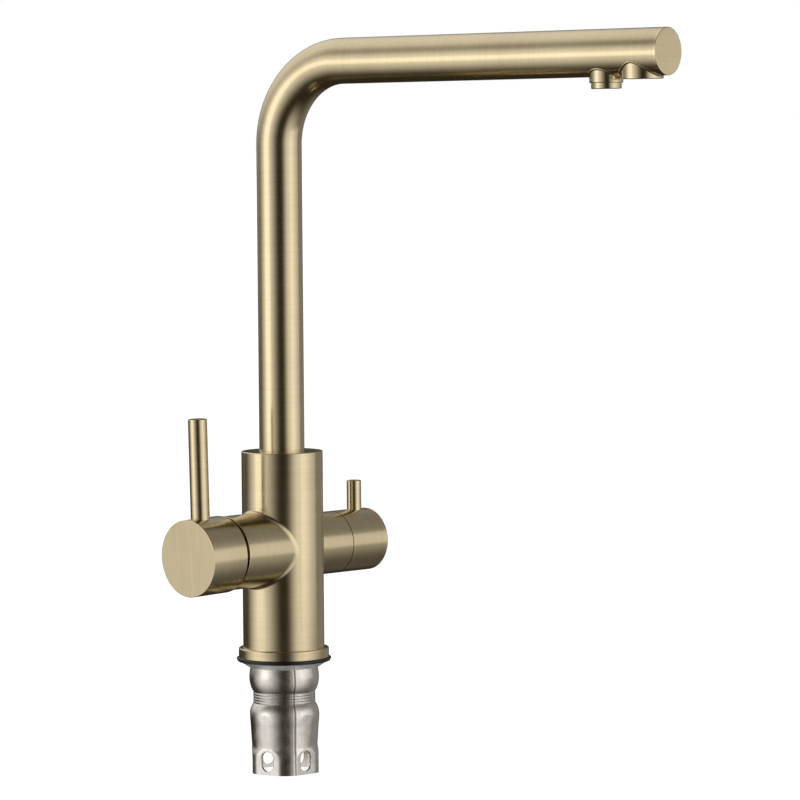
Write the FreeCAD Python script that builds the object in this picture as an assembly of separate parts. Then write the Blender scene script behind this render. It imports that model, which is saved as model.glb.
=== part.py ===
import FreeCAD, Part
import math
import os

from FreeCAD import Placement, Rotation, Vector

os.makedirs("parts", exist_ok=True)

# A deck-mounted kitchen tap with three ways: hot, cold and filtered water.
# Millimetres, +Z up. The origin is on the tap's axis in the worktop plane, which is the
# lower face of the base gasket. The spout points to -Y, the mixer branch lies along -X
# and the filter branch along +X. Everything is drawn in the pose of rest.

# Fits and clearances
turning_gap = 0.08       # radial gap of a fit that turns
bore_gap = 0.02          # radial gap of a piece that is pushed or screwed home
loose_gap = 0.3          # gap beside a piece that moves free of its neighbour
face_gap = 0.1           # gap between flat faces that slide past each other

# Base
ring_ledge = 2.5         # width of the base ring that shows round the body
ring_height = 5.5
ring_recess = 3.0        # depth to which the body sits in the base ring
ring_edge = 0.7
gasket_overhang = 1.2
gasket_thickness = 1.5
gasket_lip_width = 1.9   # ring of the gasket that bears on the worktop
gasket_lip_depth = 0.4

# Body and its two branches
body_radius = 22.5
branch_height = 62.4     # both branches share this axis
body_rise = 53.6         # from the branch axis to the body's upper face
body_edge = 0.6          # chamfer of the upper rim

# Threaded shank: M33 x 1.5, drawn at the thread's pitch radius
thread_radius = 16.0
thread_pitch = 1.5
shank_wall = 1.4
shank_engagement = 12.0  # length screwed into the body

# Inlet ports: M10 x 1, drawn at the thread's minor radius
port_radius = 4.46
port_depth = 12.0
port_margin = 1.34       # between a port and the wall of the shank's bore
waterway_radius = 2.8
waterway_margin = 1.2    # between the filter branch's inlet way and its valve
cross_way_radius = 2.4

# Fixing washer and tubular fixing nut; nut sizes run down from its upper edge
washer_depth = 4.0
washer_wall = 1.0
washer_hole_gap = 0.5
washer_foot_margin = 0.54
nut_wall = 0.97
nut_bulge = 2.3          # how far the upper bulge stands out from the neck
nut_second_bulge = 2.35
nut_shoulder = 1.9       # how far the skin stands out where the second bulge ends
nut_waist = 1.15         # the same at the lower end of the waist
nut_flare_length = 3.6   # length over which the corners of the hexagon flare out
nut_bulge_length = 13.8
nut_neck_length = 6.0
nut_second_bulge_length = 12.0
nut_waist_length = 12.2
nut_hex_length = 14.6
nut_flat_depth = 0.2     # how far the flats lie inside the waist
nut_ridge = 0.25         # height of the ridges that the rolled thread leaves outside
nut_slot_width = 7.4
nut_slot_height = 11.0
nut_slot_setback = 7.4   # from the nut's lower edge to the middle of its slots
nut_flats = 6
nut_flat_pitch = 57.6    # degrees between two flats; the weld seam lies in the wider gap that is left
nut_first_flat = 265.2   # degrees about Z of the middle of the flat after the seam
nut_flat_run = 10.0      # length over which a flat sinks in
nut_flat_rise = 0.5      # how far it sinks in there
nut_flat_lead = 4.0      # part of that run above the hexagon

# Spout
tube_radius = 12.5
tube_wall = 1.2
bend_radius = 45.5       # of the tube's centreline
arm_height = 329.85      # where the arm's axis crosses the tap's axis
arm_rise = 0.53          # degrees
arm_reach = 255.8        # from the tap's axis to the end face, along the arm
spout_swivel = 7.18      # degrees about Z at rest
cap_thickness = 1.5
cap_edge = 0.35
cap_plug_length = 3.5

# Spout spigot, its seat in the body and its seals
spout_insertion = 9.0    # length of tube inside the body
collar_height = 6.0      # collar of the spigot below the tube
collar_groove_height = 3.0
collar_groove_depth = 1.5
slide_ring_thickness = 1.0
spigot_step = 1.5        # how much narrower the spigot is than the tube
spigot_seal_length = 11.0
spigot_hub_length = 12.0
spigot_chamber = 4.0     # open height under the spigot
seal_section = 1.0       # radius of an O-ring's section
spigot_way_radius = 1.7
spigot_way_count = 6
screw_radius = 2.5
screw_dog_radius = 1.25
screw_inset = 1.2

# Filtered water line inside the tap
line_radius = 4.0
line_wall = 1.0
line_drop_radius = 8.0   # of the turn down into the filter outlet
feed_seat_depth = 6.0

# Outlets under the arm; heights are below the arm's axis
outlet_end_gap = 1.7     # between the end cap's plug and the mixed water hole
mixed_collar_radius = 11.1
mixed_collar_wall = 1.5
mixed_collar_drop = 13.9
mixed_aerator_height = 5.0
mixed_aerator_inset = 0.5
outlet_spacing = 2.45    # between the two collars
filter_collar_radius = 8.85
filter_collar_wall = 1.8
filter_collar_drop = 15.6
filter_plug_step = 0.65  # how much narrower the plug is than the collar's bore
filter_plug_height = 3.7
filter_shell_step = 0.85  # how much narrower the shell is than the collar
filter_shell_length = 3.0
filter_shell_wall = 1.4
filter_insert_inset = 0.4
aerator_hole = 0.7

# Mixer branch and cartridge; distances are from the tap's axis along the branch
chamber_floor = 17.0
cartridge_radius = 17.5
cartridge_length = 20.4  # from the chamber floor to the shoulder under the clamp ring
cartridge_base = 3.0
cartridge_wall = 3.6
cartridge_neck_wall = 2.72
cartridge_neck_length = 8.0
clamp_step = 1.05        # how much wider the clamp ring is than the cartridge
clamp_length = 7.0
clamp_recess = 0.6       # how far the clamp ring lies inside the branch's mouth
mixer_wall = 1.83        # of the branch round the clamp ring
mixer_edge = 0.4
disc_thickness = 3.5
fixed_disc_margin = 0.5
moving_disc_margin = 0.92
driver_height = 4.2
inlet_hole_radius = 3.0
inlet_hole_side = 7.62   # sideways distance of the hot and cold holes
inlet_hole_drop = 5.0    # how far they lie below the branch axis
outlet_hole_rise = 8.0   # how far the mixed water hole lies above it
outlet_way_side = 7.8    # distance of the rising waterway from the tap's axis
port_seal_section = 0.6

# Temperature carrier and lever spindle
carrier_radius = 11.0
carrier_flange_height = 2.5
carrier_stand = 0.6      # how far the carrier stands out of the cartridge neck
pivot_stand = 0.6        # how far the pivot lies outside the cartridge's shoulder
ball_depth = 1.2         # of the ball's centre in the driver
ball_radius = 2.5
ball_gap = 0.35          # round the ball in the driver
ball_stem_radius = 2.2
pin_radius = 1.5
stem_height = 8.0
stem_width = 6.0
stem_root = 3.5          # the square stem starts this far inside the pivot
stem_grip = 9.5          # length of stem inside the handle's hub
lever_tilt = 1.4         # degrees at rest, with the top leaning outward
lever_travel = 25.0      # degrees from closed to fully open

# Mixer handle
handle_gap = 2.3         # between the branch's end and the handle's rim
handle_overhang = 0.7    # how much wider the handle is than the branch
handle_wall = 1.1
handle_length = 24.7
handle_cavity_depth = 7.2
handle_edge = 0.4
handle_rim_edge = 0.3    # of the open rim beside the gap
hub_radius = 8.0
hub_height = 3.0
rod_radius = 5.2
rod_setback = 9.9        # of the lever rod's axis from the handle's end face
rod_rise = 54.2          # above the handle's barrel
rod_sink = 4.1
rod_stud_radius = 3.0
rod_stud_length = 8.0
rod_edge = 0.4
handle_screw_step = 3.5  # of the grub screw's axis from the floor of the cavity
handle_screw_inset = 1.5

# Filter branch, valve and knob; distances are from the tap's axis along the branch
knob_radius = 17.4
knob_gap = 0.5
knob_length = 27.25
knob_wall = 1.8
knob_cavity_depth = 8.5
knob_edge = 0.4
filter_branch_end = 38.05
valve_floor = 11.0
valve_radius = 10.4
valve_wall = 2.8
valve_seal_thickness = 1.3
valve_disc_thickness = 2.0
valve_foot_height = 1.4
valve_window_start = 6.8  # from the valve floor
valve_window_length = 5.2
valve_flange_radius = 12.5
valve_flange_height = 3.0
valve_neck_radius = 8.0
valve_neck_length = 5.0
valve_cap_length = 2.0   # solid end of the valve body around its spindle
spindle_radius = 4.0
spindle_grip = 9.45      # length of spindle inside the knob's hub
knob_rod_radius = 4.1
knob_rod_setback = 9.4
knob_rod_rise = 16.2     # above the knob's barrel
knob_rod_sink = 3.4
knob_stud_radius = 2.0
knob_stud_length = 6.0
knob_screw_step = 4.95
knob_screw_radius = 2.0

# Places and sizes that follow from the ones above
ring_radius = body_radius + ring_ledge
gasket_radius = ring_radius + gasket_overhang
ring_bottom = gasket_thickness
ring_top = ring_bottom + ring_height
body_bottom = ring_top - ring_recess
body_top = branch_height + body_rise
shank_top = body_bottom + shank_engagement
shank_bore = thread_radius - shank_wall
port_top = shank_top + port_depth
port_circle = shank_bore - port_radius - port_margin
washer_top = gasket_lip_depth - loose_gap
washer_rim_radius = gasket_radius - gasket_lip_width - loose_gap
nut_top = washer_top - washer_depth
nut_neck_radius = thread_radius + turning_gap + nut_wall
nut_mouth_radius = nut_neck_radius + 0.7 * nut_bulge
washer_foot_radius = nut_mouth_radius + washer_foot_margin
nut_neck_end = nut_bulge_length + nut_neck_length
nut_waist_start = nut_neck_end + nut_second_bulge_length
nut_hex_start = nut_waist_start + nut_waist_length
nut_length = nut_hex_start + nut_hex_length
nut_flat_angles = [nut_first_flat + nut_flat_pitch * index for index in range(nut_flats)]
shank_bottom = nut_top - nut_hex_start
tube_bore = tube_radius - tube_wall
tube_bottom = body_top - spout_insertion
collar_bottom = tube_bottom - collar_height
seat_height = collar_bottom - slide_ring_thickness
seat_radius = tube_radius + turning_gap
spigot_radius = tube_radius - spigot_step
seal_bore = spigot_radius + turning_gap
seal_groove_radius = seal_bore - 2 * seal_section - 2 * bore_gap
spigot_way_circle = (line_radius + turning_gap + seal_groove_radius) / 2
spigot_bottom = collar_bottom - spigot_seal_length
chamber_bottom = spigot_bottom - spigot_chamber
feed_bottom = chamber_bottom - feed_seat_depth
cartridge_shoulder = chamber_floor + cartridge_length
cartridge_cavity_radius = cartridge_radius - cartridge_wall
cartridge_neck_radius = carrier_radius + turning_gap + cartridge_neck_wall
clamp_radius = cartridge_radius + clamp_step
clamp_end = cartridge_shoulder + clamp_length
mixer_radius = clamp_radius + bore_gap + mixer_wall
mixer_end = clamp_end + clamp_recess
disc_start = chamber_floor + cartridge_base
driver_start = disc_start + 2 * disc_thickness
driver_end = driver_start + driver_height
carrier_start = driver_end + loose_gap
carrier_shoulder = carrier_start + carrier_flange_height
neck_end = cartridge_shoulder + cartridge_neck_length
carrier_end = neck_end + carrier_stand
pivot_reach = cartridge_shoulder + pivot_stand
lever_arm = pivot_reach - driver_end + ball_depth
lever_throw = lever_arm * math.sin(math.radians(lever_travel))
fixed_disc_radius = cartridge_cavity_radius - fixed_disc_margin
moving_disc_radius = cartridge_cavity_radius - lever_throw - moving_disc_margin
handle_radius = mixer_radius + handle_overhang
handle_start = mixer_end + handle_gap
handle_end = handle_start + handle_length
handle_floor = handle_start + handle_cavity_depth
hub_end = handle_floor - hub_height
stem_end = hub_end + stem_grip
rod_reach = handle_end - rod_setback
rod_seat = handle_radius - rod_sink
rod_top = handle_radius + rod_rise
handle_screw_reach = handle_floor + handle_screw_step
knob_start = filter_branch_end + knob_gap
knob_end = knob_start + knob_length
knob_floor = knob_start + knob_cavity_depth
spindle_end = knob_floor + spindle_grip
knob_rod_reach = knob_end - knob_rod_setback
knob_rod_seat = knob_radius - knob_rod_sink
knob_rod_top = knob_radius + knob_rod_rise
knob_screw_reach = knob_floor + knob_screw_step
valve_start = valve_floor + valve_seal_thickness
bend_angle = 90.0 - arm_rise
bend_setback = bend_radius * math.tan(math.radians(bend_angle / 2))
bend_start = arm_height - bend_setback
arm_end = arm_reach - cap_thickness
mixed_bore = mixed_collar_radius - mixed_collar_wall
mixed_outlet_reach = arm_end - cap_plug_length - outlet_end_gap - mixed_bore
filter_bore = filter_collar_radius - filter_collar_wall
filter_plug_radius = filter_bore - filter_plug_step
filter_shell_radius = filter_collar_radius - filter_shell_step
filter_outlet_reach = mixed_outlet_reach - mixed_collar_radius - outlet_spacing - filter_collar_radius
filter_plug_drop = filter_collar_drop - filter_shell_length - loose_gap

axis_point = Vector(0, 0, 0)
up = Vector(0, 0, 1)


def turned(outline):
    """Solid of revolution about Z; the outline is a list of (radius, height) points."""
    points = [Vector(radius, 0, height) for radius, height in outline]
    face = Part.Face(Part.makePolygon(points + points[:1]))
    return face.revolve(axis_point, up, 360)


def on_branch(shape, side):
    """Lays a shape turned about Z along the branch axis, to -X or +X."""
    shape.Placement = Placement(Vector(0, 0, branch_height), Rotation(up, Vector(side, 0, 0)))
    return shape


def mixer_turned(outline):
    return on_branch(turned(outline), -1)


def filter_turned(outline):
    return on_branch(turned(outline), 1)


def rod(radius, start, end):
    """Cylinder between two points."""
    run = end - start
    return Part.makeCylinder(radius, run.Length, start, run)


def block(low, high):
    """Box between two corners."""
    size = high - low
    return Part.makeBox(size.x, size.y, size.z, low)


def ring(outer, inner, low, high):
    """Plain ring about Z."""
    return turned([(inner, low), (outer, low), (outer, high), (inner, high)])


def o_ring(major, section, height):
    return Part.makeTorus(major, section, Vector(0, 0, height), up)


def join(pieces):
    return pieces[0].multiFuse(pieces[1:]).removeSplitter()


def cut(shape, tools):
    return shape.cut(Part.makeCompound(tools))


def circle_points(count, radius, start=0.0):
    angles = [math.radians(start + 360.0 * index / count) for index in range(count)]
    return [(radius * math.cos(angle), radius * math.sin(angle)) for angle in angles]


def branch_point(reach, rise, sideways=0.0):
    """Point at a distance along X, a height over the branch axis and a distance along Y."""
    return Vector(reach, sideways, branch_height + rise)


def swivelled(shape):
    shape.rotate(axis_point, up, spout_swivel)
    return shape


def on_arm(shape):
    """Brings a shape drawn beside a level arm on -Y to the arm's rise and swivel."""
    shape.rotate(Vector(0, 0, arm_height), Vector(1, 0, 0), -arm_rise)
    return swivelled(shape)


def tilted(shape):
    """Gives a shape drawn on the closed lever the tilt that it has at rest."""
    shape.rotate(branch_point(-pivot_reach, 0), Vector(0, -1, 0), lever_tilt)
    return shape


# Base and fixing

def base_gasket():
    lip_radius = gasket_radius - gasket_lip_width
    inner = thread_radius + loose_gap
    return turned([
        (inner, gasket_lip_depth), (lip_radius, gasket_lip_depth), (lip_radius, 0),
        (gasket_radius, 0), (gasket_radius, gasket_thickness), (inner, gasket_thickness)])


def base_ring():
    inner = thread_radius + loose_gap
    recess = body_radius + bore_gap
    return turned([
        (inner, ring_bottom), (ring_radius, ring_bottom), (ring_radius, ring_top - ring_edge),
        (ring_radius - ring_edge, ring_top), (recess, ring_top), (recess, body_bottom),
        (inner, body_bottom)])


def threaded_shank():
    return ring(thread_radius, shank_bore, shank_bottom, shank_top)


def fixing_washer():
    hole = thread_radius + washer_hole_gap
    floor = nut_top + washer_wall
    return turned([
        (hole, nut_top), (washer_foot_radius, nut_top), (washer_rim_radius, washer_top - washer_wall),
        (washer_rim_radius, washer_top), (washer_rim_radius - washer_wall, washer_top),
        (washer_foot_radius - washer_wall, floor), (hole, floor)])


def nut_core(inset, ridge):
    """Solid inside the nut's skin, or inside a surface that lies an inset within it."""
    neck = nut_neck_radius - inset

    def place(depth, offset):
        return Vector(neck + offset, 0, nut_top - depth)

    upper = Part.BSplineCurve()
    upper.interpolate([
        place(0, nut_mouth_radius - nut_neck_radius), place(0.4 * nut_bulge_length, nut_bulge),
        place(0.8 * nut_bulge_length, 0.6 * nut_bulge), place(nut_bulge_length, 0)])
    ridges = 2 * round(nut_neck_length / thread_pitch)
    crests = Part.BSplineCurve()
    crests.interpolate([
        place(nut_bulge_length + nut_neck_length * step / ridges, ridge * (step % 2))
        for step in range(ridges + 1)])
    lower = Part.BSplineCurve()
    lower.interpolate([
        place(nut_neck_end, 0), place(nut_neck_end + 0.2 * nut_second_bulge_length, 0.6 * nut_second_bulge),
        place(nut_neck_end + 0.55 * nut_second_bulge_length, nut_second_bulge),
        place(nut_waist_start, nut_shoulder)])
    path = [
        place(nut_waist_start, nut_shoulder), place(nut_hex_start, nut_waist),
        place(nut_hex_start + nut_flare_length, nut_bulge), place(nut_length, nut_bulge),
        Vector(0, 0, nut_top - nut_length),
        Vector(0, 0, nut_top), place(0, nut_mouth_radius - nut_neck_radius)]
    edges = [upper.toShape(), crests.toShape(), lower.toShape()]
    edges += [Part.makeLine(start, end) for start, end in zip(path, path[1:])]
    core = Part.Face(Part.Wire(edges)).revolve(axis_point, up, 360)
    flat = neck + nut_waist - nut_flat_depth
    return cut(core, [flat_cutter(flat, angle) for angle in nut_flat_angles])


def flat_cutter(apothem, angle):
    """Wedge that takes one flat of the nut's hexagon and sinks in along its upper run."""
    top = nut_top - nut_hex_start + nut_flat_lead
    bottom = nut_top - nut_length - 1
    half = nut_neck_radius + nut_bulge
    outline = [(apothem, bottom), (apothem, top - nut_flat_run), (apothem + nut_flat_rise, top),
               (2 * half, top), (2 * half, bottom)]
    points = [Vector(x, -half, z) for x, z in outline]
    wedge = Part.Face(Part.makePolygon(points + points[:1])).extrude(Vector(0, 2 * half, 0))
    wedge.rotate(axis_point, up, angle)
    return wedge


def slot_cutter(angle):
    """Upright slot with round ends through one flat of the nut."""
    half = (nut_slot_height - nut_slot_width) / 2
    centre = nut_top - nut_length + nut_slot_setback
    width = nut_slot_width / 2
    near, far = nut_neck_radius / 2, 2 * nut_neck_radius
    pieces = [block(Vector(near, -width, centre - half), Vector(far, width, centre + half))]
    pieces += [rod(width, Vector(near, 0, height), Vector(far, 0, height))
               for height in (centre - half, centre + half)]
    slot = join(pieces)
    slot.rotate(axis_point, up, angle)
    return slot


def fixing_nut():
    shell = nut_core(0, nut_ridge).cut(nut_core(nut_wall, 0))
    return cut(shell, [slot_cutter(angle) for angle in nut_flat_angles])


# Body

def port_places():
    """The cold and hot ports lie behind and before the axis, the filter port to +X."""
    return dict(zip(("filter", "cold", "hot"), circle_points(3, port_circle)))


def drilling(radius, start, end, overrun=1.0):
    """Drilled way that runs on a little past both of its ends."""
    extra = (end - start).normalize() * overrun
    return rod(radius, start - extra, end + extra)


def waterways():
    """Drillings that lead from the ports to the two valves and on to the spout."""
    places = port_places()
    low = branch_height - inlet_hole_drop
    rise = branch_height + outlet_hole_rise
    window = valve_floor + valve_window_start + valve_window_length / 2
    inlet = valve_floor - waterway_radius - waterway_margin
    turn = branch_height + valve_radius + cross_way_radius + 1
    ways = []
    for name, side in (("cold", inlet_hole_side), ("hot", -inlet_hole_side)):
        x, y = places[name]
        ways.append(drilling(waterway_radius, Vector(x, y, port_top), Vector(x, y, low)))
        ways.append(drilling(cross_way_radius, Vector(x, side, low), Vector(-chamber_floor, side, low)))
    ways.append(drilling(cross_way_radius, Vector(-outlet_way_side, 0, rise),
                         Vector(-chamber_floor, 0, rise)))
    ways.append(drilling(waterway_radius, Vector(-outlet_way_side, 0, rise),
                         Vector(-outlet_way_side, 0, chamber_bottom)))
    ways.append(drilling(waterway_radius, Vector(inlet, 0, port_top), Vector(inlet, 0, branch_height)))
    ways.append(drilling(cross_way_radius, Vector(inlet, 0, branch_height),
                         Vector(valve_floor, 0, branch_height)))
    ways.append(drilling(cross_way_radius, Vector(window, 0, branch_height + valve_radius),
                         Vector(window, 0, turn)))
    ways.append(drilling(cross_way_radius - 0.4, Vector(window, 0, turn), Vector(0, 0, turn)))
    ways.append(drilling(cross_way_radius, Vector(0, 0, turn), Vector(0, 0, feed_bottom)))
    return ways


def retaining_screw_height():
    return collar_bottom + collar_height / 2


def tap_body():
    shell = turned([
        (0, body_bottom), (body_radius, body_bottom), (body_radius, body_top - body_edge),
        (body_radius - body_edge, body_top), (0, body_top)])
    mixer = mixer_turned([
        (0, 0), (mixer_radius, 0), (mixer_radius, mixer_end - mixer_edge),
        (mixer_radius - mixer_edge, mixer_end), (0, mixer_end)])
    filtered = filter_turned([
        (0, 0), (knob_radius, 0), (knob_radius, filter_branch_end), (0, filter_branch_end)])
    solid = join([shell, mixer, filtered])
    chamber = mixer_turned([
        (0, chamber_floor), (cartridge_radius + bore_gap, chamber_floor),
        (cartridge_radius + bore_gap, cartridge_shoulder), (clamp_radius + bore_gap, cartridge_shoulder),
        (clamp_radius + bore_gap, mixer_end + 1), (0, mixer_end + 1)])
    valve_bore = filter_turned([
        (0, valve_floor), (valve_radius + bore_gap, valve_floor),
        (valve_radius + bore_gap, filter_branch_end + 1), (0, filter_branch_end + 1)])
    spout_bore = turned([
        (0, chamber_bottom), (seal_bore, chamber_bottom), (seal_bore, seat_height),
        (seat_radius, seat_height), (seat_radius, body_top + 1), (0, body_top + 1)])
    feed_seat = rod(line_radius + bore_gap, Vector(0, 0, feed_bottom), Vector(0, 0, chamber_bottom + 1))
    shank_seat = rod(thread_radius + bore_gap, Vector(0, 0, body_bottom - 1), Vector(0, 0, shank_top))
    ports = [rod(port_radius, Vector(x, y, shank_top - 1), Vector(x, y, port_top))
             for x, y in port_places().values()]
    height = retaining_screw_height()
    screw_hole = rod(screw_radius, Vector(0, seat_radius - 1, height), Vector(0, body_radius + 1, height))
    tools = [chamber, valve_bore, spout_bore, feed_seat, shank_seat, screw_hole]
    return cut(solid, tools + ports + waterways())


# Mixer cartridge

def cartridge_holes(start, end, radius):
    """Hot, cold and mixed water holes along the branch."""
    spots = [(-inlet_hole_drop, -inlet_hole_side), (-inlet_hole_drop, inlet_hole_side),
             (outlet_hole_rise, 0)]
    return [rod(radius, branch_point(-start, rise, side), branch_point(-end, rise, side))
            for rise, side in spots]


def cartridge_housing():
    cavity = cartridge_cavity_radius
    neck_bore = carrier_radius + turning_gap
    plate = carrier_shoulder + face_gap
    housing = mixer_turned([
        (0, chamber_floor), (cartridge_radius, chamber_floor), (cartridge_radius, cartridge_shoulder),
        (cartridge_neck_radius, cartridge_shoulder), (cartridge_neck_radius, neck_end),
        (neck_bore, neck_end), (neck_bore, plate), (cavity, plate), (cavity, disc_start),
        (0, disc_start)])
    seats = cartridge_holes(chamber_floor - 1, chamber_floor + 2 * port_seal_section,
                            inlet_hole_radius + 2 * port_seal_section)
    return cut(housing, seats + cartridge_holes(chamber_floor - 1, disc_start + 1, inlet_hole_radius))


def cartridge_seals():
    """Three O-rings that seal the cartridge's holes on the chamber floor."""
    rings = []
    for hole in cartridge_holes(chamber_floor, chamber_floor + 1, inlet_hole_radius):
        centre = hole.CenterOfMass
        place = Vector(-chamber_floor - port_seal_section, centre.y, centre.z)
        rings.append(Part.makeTorus(inlet_hole_radius + port_seal_section, port_seal_section, place,
                                    Vector(1, 0, 0)))
    return Part.makeCompound(rings)


def fixed_ceramic_disc():
    disc = mixer_turned([
        (0, disc_start), (fixed_disc_radius, disc_start),
        (fixed_disc_radius, disc_start + disc_thickness), (0, disc_start + disc_thickness)])
    return cut(disc, cartridge_holes(disc_start - 1, disc_start + disc_thickness + 1, inlet_hole_radius))


def disc_shift(shape):
    """Lifts a piece to where the tilted lever's ball holds the moving disc at rest."""
    shape.translate(Vector(0, 0, lever_arm * math.sin(math.radians(lever_tilt))))
    return shape


def moving_ceramic_disc():
    start = disc_start + disc_thickness
    disc = mixer_turned([
        (0, start), (moving_disc_radius, start), (moving_disc_radius, driver_start), (0, driver_start)])
    hollow = rod(0.6 * moving_disc_radius, branch_point(-start + 1, 0),
                 branch_point(-start - disc_thickness / 2, 0))
    return disc_shift(disc.cut(hollow))


def disc_driver():
    hole = ball_radius + ball_gap
    return disc_shift(mixer_turned([
        (hole, driver_start), (moving_disc_radius, driver_start), (moving_disc_radius, driver_end),
        (hole, driver_end)]))


def clamp_ring():
    inner = cartridge_neck_radius + 2 * turning_gap
    clamp = mixer_turned([
        (inner, cartridge_shoulder), (clamp_radius, cartridge_shoulder), (clamp_radius, clamp_end),
        (inner, clamp_end)])
    notch = 2.0
    notches = [rod(notch, branch_point(-clamp_end + notch, z, y), branch_point(-clamp_end - 1, z, y))
               for y, z in circle_points(6, (inner + clamp_radius) / 2)]
    return cut(clamp, notches)


def lever_slot_heights():
    """Lower and upper limit of the slot that the stem sweeps in the carrier."""
    open_angle = math.radians(lever_travel)
    outer = carrier_end - pivot_reach
    half = stem_height / 2
    low = half / math.cos(open_angle) + outer * math.tan(open_angle) + loose_gap
    high = lever_throw + ball_radius + loose_gap
    return -low, max(high, half + loose_gap)


def temperature_carrier():
    carrier = mixer_turned([
        (0, carrier_start), (cartridge_cavity_radius - loose_gap, carrier_start),
        (cartridge_cavity_radius - loose_gap, carrier_shoulder), (carrier_radius, carrier_shoulder),
        (carrier_radius, carrier_end), (0, carrier_end)])
    low, high = lever_slot_heights()
    half = stem_width / 2 + turning_gap
    slot = block(branch_point(-carrier_end - 1, low, -half), branch_point(-carrier_start + 1, high, half))
    reach = carrier_radius + 1
    hole = rod(pin_radius + bore_gap, branch_point(-pivot_reach, 0, -reach),
               branch_point(-pivot_reach, 0, reach))
    return cut(carrier, [slot, hole])


def lever_cross_pin():
    reach = carrier_radius - 2 * turning_gap
    return rod(pin_radius, branch_point(-pivot_reach, 0, -reach), branch_point(-pivot_reach, 0, reach))


# Mixer handle

def stem_block(start, end, gap):
    half_height = stem_height / 2 + gap
    half_width = stem_width / 2 + gap
    return block(branch_point(-end, -half_height, -half_width),
                 branch_point(-start, half_height, half_width))


def lever_spindle():
    stem = stem_block(pivot_reach - stem_root, stem_end, 0)
    ball_centre = branch_point(-pivot_reach + lever_arm, 0)
    neck = rod(ball_stem_radius, ball_centre, branch_point(-pivot_reach, 0))
    ball = Part.makeSphere(ball_radius, ball_centre)
    reach = stem_width
    hole = rod(pin_radius + turning_gap, branch_point(-pivot_reach, 0, -reach),
               branch_point(-pivot_reach, 0, reach))
    return tilted(join([stem, neck, ball]).cut(hole))


def handle_barrel():
    cavity = handle_radius - handle_wall
    barrel = mixer_turned([
        (0, hub_end), (hub_radius, hub_end), (hub_radius, handle_floor), (cavity, handle_floor),
        (cavity, handle_start), (handle_radius - handle_rim_edge, handle_start),
        (handle_radius, handle_start + handle_rim_edge), (handle_radius, handle_end - handle_edge),
        (handle_radius - handle_edge, handle_end), (0, handle_end)])
    socket = stem_block(hub_end - 1, stem_end, bore_gap)
    rod_seat_hole = rod(rod_radius + bore_gap, branch_point(-rod_reach, rod_seat),
                        branch_point(-rod_reach, handle_radius + 1))
    stud_hole = rod(rod_stud_radius + bore_gap, branch_point(-rod_reach, rod_seat - rod_stud_length),
                    branch_point(-rod_reach, rod_seat + 1))
    screw_hole = rod(screw_radius, branch_point(-handle_screw_reach, -handle_radius - 1),
                     branch_point(-handle_screw_reach, 0))
    return tilted(cut(barrel, [socket, rod_seat_hole, stud_hole, screw_hole]))


def upright_rod(radius, stud_radius, stud_length, top, seat, edge, reach):
    """Round lever with a chamfered top and a threaded stud below its seat."""
    shape = turned([
        (0, seat - stud_length), (stud_radius, seat - stud_length), (stud_radius, seat),
        (radius, seat), (radius, top - edge), (radius - edge, top), (0, top)])
    shape.translate(branch_point(reach, 0))
    return shape


def handle_lever_rod():
    return tilted(upright_rod(rod_radius, rod_stud_radius, rod_stud_length, rod_top, rod_seat,
                              rod_edge, -rod_reach))


def hex_socket_screw(radius, start, end):
    """Grub screw from its driven end to its tip, with a hexagon socket."""
    run = end - start
    socket_radius = 0.55 * radius
    corners = [Vector(x, y, 0) for x, y in circle_points(6, socket_radius)]
    socket = Part.Face(Part.makePolygon(corners + corners[:1])).extrude(Vector(0, 0, 1.2 * radius))
    socket.Placement = Placement(start, Rotation(up, run))
    return rod(radius, start, end).cut(socket)


def handle_grub_screw():
    return tilted(hex_socket_screw(
        screw_radius - bore_gap, branch_point(-handle_screw_reach, handle_screw_inset - handle_radius),
        branch_point(-handle_screw_reach, -stem_height / 2)))


# Filter valve and knob

def filter_valve_seal():
    inner = valve_radius - valve_wall
    return filter_turned([
        (inner, valve_floor), (valve_radius - loose_gap, valve_floor),
        (valve_radius - loose_gap, valve_start), (inner, valve_start)])


def filter_valve_body():
    bore = valve_radius - valve_wall
    spindle_bore = spindle_radius + turning_gap
    flange_end = filter_branch_end + valve_flange_height
    cap_start = filter_branch_end - valve_cap_length
    body = filter_turned([
        (bore, valve_start), (valve_radius, valve_start), (valve_radius, filter_branch_end),
        (valve_flange_radius, filter_branch_end), (valve_flange_radius, flange_end),
        (valve_neck_radius, flange_end), (valve_neck_radius, flange_end + valve_neck_length),
        (spindle_bore, flange_end + valve_neck_length), (spindle_bore, cap_start), (bore, cap_start)])
    flat = 0.9 * valve_flange_radius
    far = 2 * valve_flange_radius
    flats = []
    for index in range(6):
        wedge = block(Vector(filter_branch_end, -far, branch_height + flat),
                      Vector(flange_end + 1, far, branch_height + far))
        wedge.rotate(branch_point(0, 0), Vector(1, 0, 0), 60 * index)
        flats.append(wedge)
    start = valve_floor + valve_window_start
    window = block(branch_point(start, -far, -bore / 3),
                   branch_point(start + valve_window_length, far, bore / 3))
    return cut(body, flats + [window])


def filter_fixed_disc():
    radius = valve_radius - valve_wall - bore_gap
    start = valve_start
    disc = filter_turned([
        (0, start), (radius, start), (radius, start + valve_disc_thickness),
        (0, start + valve_disc_thickness)])
    return disc.cut(filter_quadrants(start))


def filter_quadrants(start):
    """The two openings of a quarter-turn disc."""
    side = 0.6 * (valve_radius - valve_wall)
    low = start - 1
    high = start + valve_disc_thickness + 1
    slabs = [block(branch_point(low, 1, 1), branch_point(high, side, side)),
             block(branch_point(low, -side, -side), branch_point(high, -1, -1))]
    return Part.makeCompound(slabs)


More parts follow.
